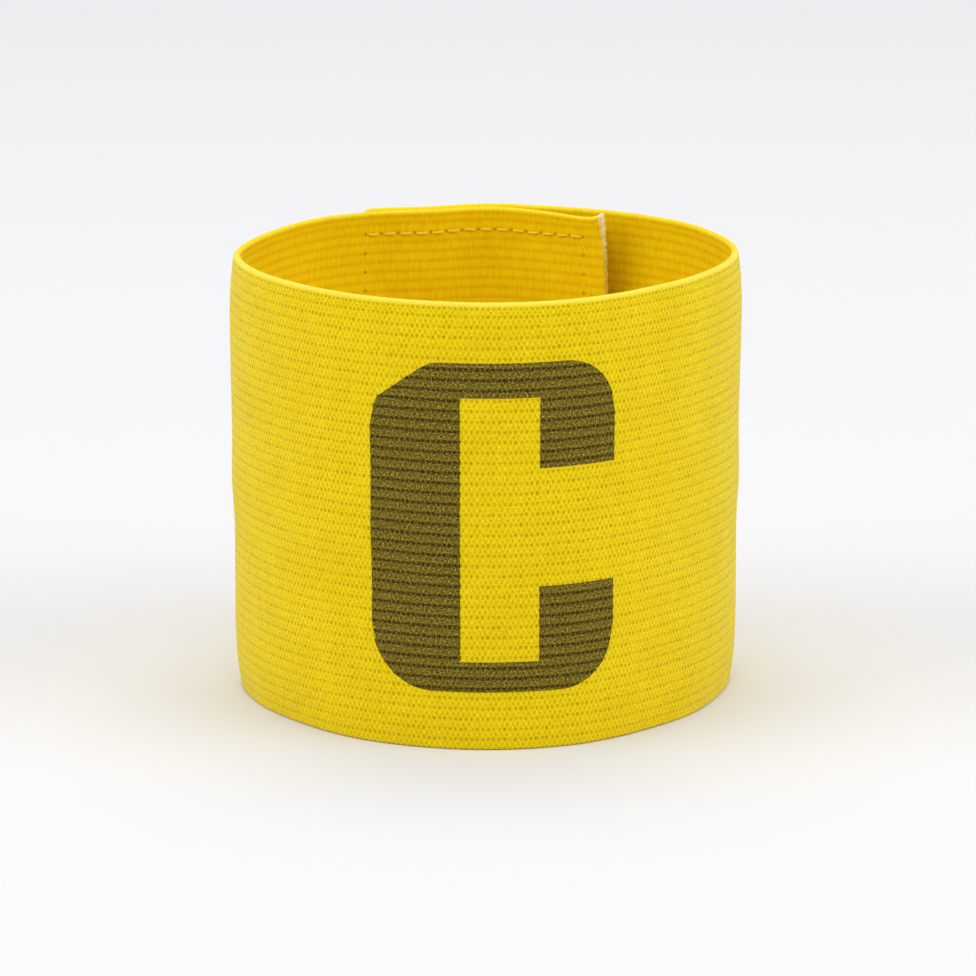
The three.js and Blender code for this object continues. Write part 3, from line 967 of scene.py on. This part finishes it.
def makeInk():
    # Screen-printed ink soaked into the knit: it covers the ribs thinly, so yellow-grey specks
    # show through, and lies black in the grooves, which also get painted shade, as do the stitch
    # holes and the slants between them; a painted highlight runs along each rib's bulge above its
    # groove
    material, tree = newMaterial("screenPrintedInk")
    masks = knitPattern(tree, ink["grooveWidth"])
    speck = addNode(tree, "TexNoise", flatNoise, {"Vector": masks["cloth"], **ink["specks"]})
    low, high = ink["speckNoise"]
    specks = addNode(tree, "MapRange", softRamp, {0: speck, 1: low, 2: high})
    # painted highlight: a paler band where each rib bulges just above its groove
    above = addNode(tree, "SeparateXYZ", None, {0: masks["cloth"]}, output=1)
    above = addNode(tree, "Math", subtract,
                    {0: above, 1: knit["footGroove"] + ink["bandPlace"] * knit["ribPitch"]})
    above = addNode(tree, "Math", pingPong, {0: above, 1: knit["ribPitch"] / 2})
    above = addNode(tree, "MapRange", softRamp,
                    {0: above, 1: ink["bandReach"], 2: 0.0, 4: ink["bandShare"]})
    low, high = ink["mottleNoise"]
    most, least = ink["mottle"]
    dark = addNode(tree, "MapRange", None, {0: masks["fibre"], 1: low, 2: high, 3: most, 4: least})
    for name, share in ink["shades"].items():
        dark = addNode(tree, "Math", multiplyAdd, {0: masks[name], 1: share, 2: dark})
    dark = addNode(tree, "MapRange", None, {0: dark, 2: ink["shadeLimit"], 4: ink["darkest"]})
    colour = linear(ink["colour"])
    for mask, over in (
        (above, ink["bulgeHighlightColour"]), (specks, ink["lightColour"]), (dark, ink["grooveInkAndShadeColour"]),
    ):
        colour = addNode(tree, "Mix", colourMix, {0: mask, 6: colour, 7: linear(over)}, output=2)
    relief = addNode(tree, "Math", add, {0: masks["fibre"], 1: 1.0})
    relief = addNode(tree, "Math", subtract, {0: relief, 1: dark})
    normal = addNode(tree, "Bump", None, {"Strength": 0.5, "Distance": 0.14 * mm, "Height": relief})
    shader = addNode(tree, "BsdfPrincipled", None, {
        "Base Color": colour, "Roughness": 0.8, "IOR": 1.5, "Specular IOR Level": 0.06,
        "Sheen Weight": 0.02, "Sheen Roughness": 0.5, "Sheen Tint": linear("#ffe890"),
        "Normal": normal})
    finishMaterial(tree, shader)
    return material


hooks = {
    "colour": "#caa70c",
    "tipHighlightColour": "#f0dc4e",
    "rowsPerMm": 1.1,
    "uneven": 0.25,
    "tipEdge": (0.5, 0.15),  # distance from a hook, in rows, where its tip starts and is full
}


def makeHookTape():
    # Woven nylon with rows of cut hooks: tiny shiny points in a grid, each tip lighter with a
    # painted highlight
    material, tree = newMaterial("wovenNylonHooks")
    cloth = addNode(tree, "UVMap", {"uv_map": "cloth"})
    points = addNode(tree, "TexVoronoi", {"voronoi_dimensions": "2D", "feature": "F1"}, {
        "Vector": cloth, "Scale": hooks["rowsPerMm"], "Randomness": hooks["uneven"]})
    tipStart, tipFull = hooks["tipEdge"]
    tips = addNode(tree, "MapRange", softRamp, {0: points, 1: tipStart, 2: tipFull})
    # a painted highlight on each hook's tip
    colour = addNode(tree, "Mix", colourMix,
                     {0: tips, 6: linear(hooks["colour"]), 7: linear(hooks["tipHighlightColour"])}, output=2)
    normal = addNode(tree, "Bump", None, {"Strength": 0.9, "Distance": 0.35 * mm, "Height": tips})
    shader = addNode(tree, "BsdfPrincipled", None, {
        "Base Color": colour, "Roughness": 0.42, "IOR": 1.53, "Specular IOR Level": 0.4,
        "Normal": normal})
    finishMaterial(tree, shader)
    return material


pile = {
    "colour": "#cfab0a",
    "lightColour": "#f4df3c",
    "tangle": {"Scale": 1.7, "Detail": 5.0, "Roughness": 0.75, "Distortion": 1.2},
}


def makeLoopTape():
    # Brushed nylon loops: a matt tangled pile
    material, tree = newMaterial("brushedNylonLoops")
    cloth = addNode(tree, "UVMap", {"uv_map": "cloth"})
    tangle = addNode(tree, "TexNoise", flatNoise, {"Vector": cloth, **pile["tangle"]})
    colour = addNode(tree, "Mix", colourMix, {
        0: tangle, 6: linear(pile["colour"]), 7: linear(pile["lightColour"])}, output=2)
    normal = addNode(tree, "Bump", None, {"Strength": 0.8, "Distance": 0.3 * mm, "Height": tangle})
    shader = addNode(tree, "BsdfPrincipled", None, {
        "Base Color": colour, "Roughness": 0.95, "IOR": 1.5, "Specular IOR Level": 0.05,
        "Sheen Weight": 0.3, "Sheen Roughness": 0.5, "Sheen Tint": linear("#fff3b0"),
        "Normal": normal})
    finishMaterial(tree, shader)
    return material


threads = {
    "twistedSewingThread": {"light": "#fbe23a", "dark": "#efcf20"},
    "cutPolyesterFibres": {"light": "#fdf0b0", "dark": "#f8dc6a"},
}


def makeThread(name):
    # Twisted polyester thread: fine slanting shade lines and a soft shine
    material, tree = newMaterial(name)
    look = threads[name]
    place = addNode(tree, "TexCoord", output=3)
    twist = addNode(tree, "TexWave", {"wave_type": "BANDS", "bands_direction": "DIAGONAL"},
                    {"Vector": place, "Scale": 700.0, "Distortion": 1.0, "Detail": 1.0})
    colour = addNode(tree, "Mix", colourMix,
                     {0: twist, 6: linear(look["dark"]), 7: linear(look["light"])}, output=2)
    shader = addNode(tree, "BsdfPrincipled", None, {
        "Base Color": colour, "Roughness": 0.55, "IOR": 1.5, "Specular IOR Level": 0.15,
        "Sheen Weight": 0.2, "Sheen Roughness": 0.4, "Sheen Tint": linear("#fff8d8")})
    finishMaterial(tree, shader)
    return material


band.data.materials.append(makeElastic("knittedPolyesterElastic", elastic["face"]))
band.data.materials.append(makeElastic("smoothBackOfElastic", elastic["back"]))
letterPiece.data.materials.append(makeInk())
hookTape.data.materials.append(makeHookTape())
loopTape.data.materials.append(makeLoopTape())
sewingThread = makeThread("twistedSewingThread")
for piece in (innerSeam, outerSeam):
    piece.data.materials.append(sewingThread)
cutThread = makeThread("cutPolyesterFibres")
for piece in (innerFray, outerFray):
    piece.data.materials.append(cutThread)
print("materials made")


# Floor and light: white paper, soft lights from the sides, the front and above, and light all round

studio = {
    "floorSize": 12.0,
    "floorColour": "#e8e8ea",
    "aroundColour": "#fdfdff",
    "around": 0.5,
    # name, place, size, watts
    "lamps": [
        ("left_light", (-1.6, -0.6, 1.15), 1.6, 15.0),
        ("right_light", (1.6, -0.6, 1.15), 1.6, 15.0),
        ("front_light", (0, -1.3, 1.9), 1.5, 5.0),
        ("top_light", (0, 0.62, 2.2), 1.8, 19.5),
    ],
}

bpy.ops.object.select_all(action="DESELECT")
bpy.ops.mesh.primitive_plane_add(size=studio["floorSize"], location=(0, 0, 0))
floor = bpy.context.object
floor.name = "paper_floor"
floorMaterial, floorTree = newMaterial("whiteStudioPaper")
floorShader = addNode(floorTree, "BsdfPrincipled", None, {
    "Base Color": linear(studio["floorColour"]), "Roughness": 0.9, "IOR": 1.45,
    "Specular IOR Level": 0.1})
finishMaterial(floorTree, floorShader)
floor.data.materials.append(floorMaterial)

world = bpy.data.worlds.new("studio")
bpy.context.scene.world = world
world.use_nodes = True
world.node_tree.nodes.clear()
around = addNode(world.node_tree, "Background", None, {
    "Color": linear(studio["aroundColour"]), "Strength": studio["around"]})
addNode(world.node_tree, "OutputWorld", None, {"Surface": around}, output=None)

for name, place, size, watts in studio["lamps"]:
    lampData = bpy.data.lights.new(name, "AREA")
    lampData.shape = "SQUARE"
    lampData.size = size
    lampData.energy = watts
    lamp = bpy.data.objects.new(name, lampData)
    bpy.context.scene.collection.objects.link(lamp)
    lamp.location = place
    towardsLoop = Vector((0, 0, strip["width"] / 2)) - Vector(place)
    lamp.rotation_euler = towardsLoop.to_track_quat("-Z", "Y").to_euler()
print("floor and light set")


# Each piece rides on the body and takes its place in the frame

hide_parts("elastic_band")
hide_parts("letter_print")
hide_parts("hook_patch")
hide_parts("loop_patch")
pieces = {
    band: "elastic", letterPiece: "print_ink", hookTape: "hook_tape", loopTape: "loop_tape",
    innerSeam: "elastic", outerSeam: "elastic", innerFray: "elastic", outerFray: "elastic",
}
for piece, slot in pieces.items():
    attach(piece, "root")
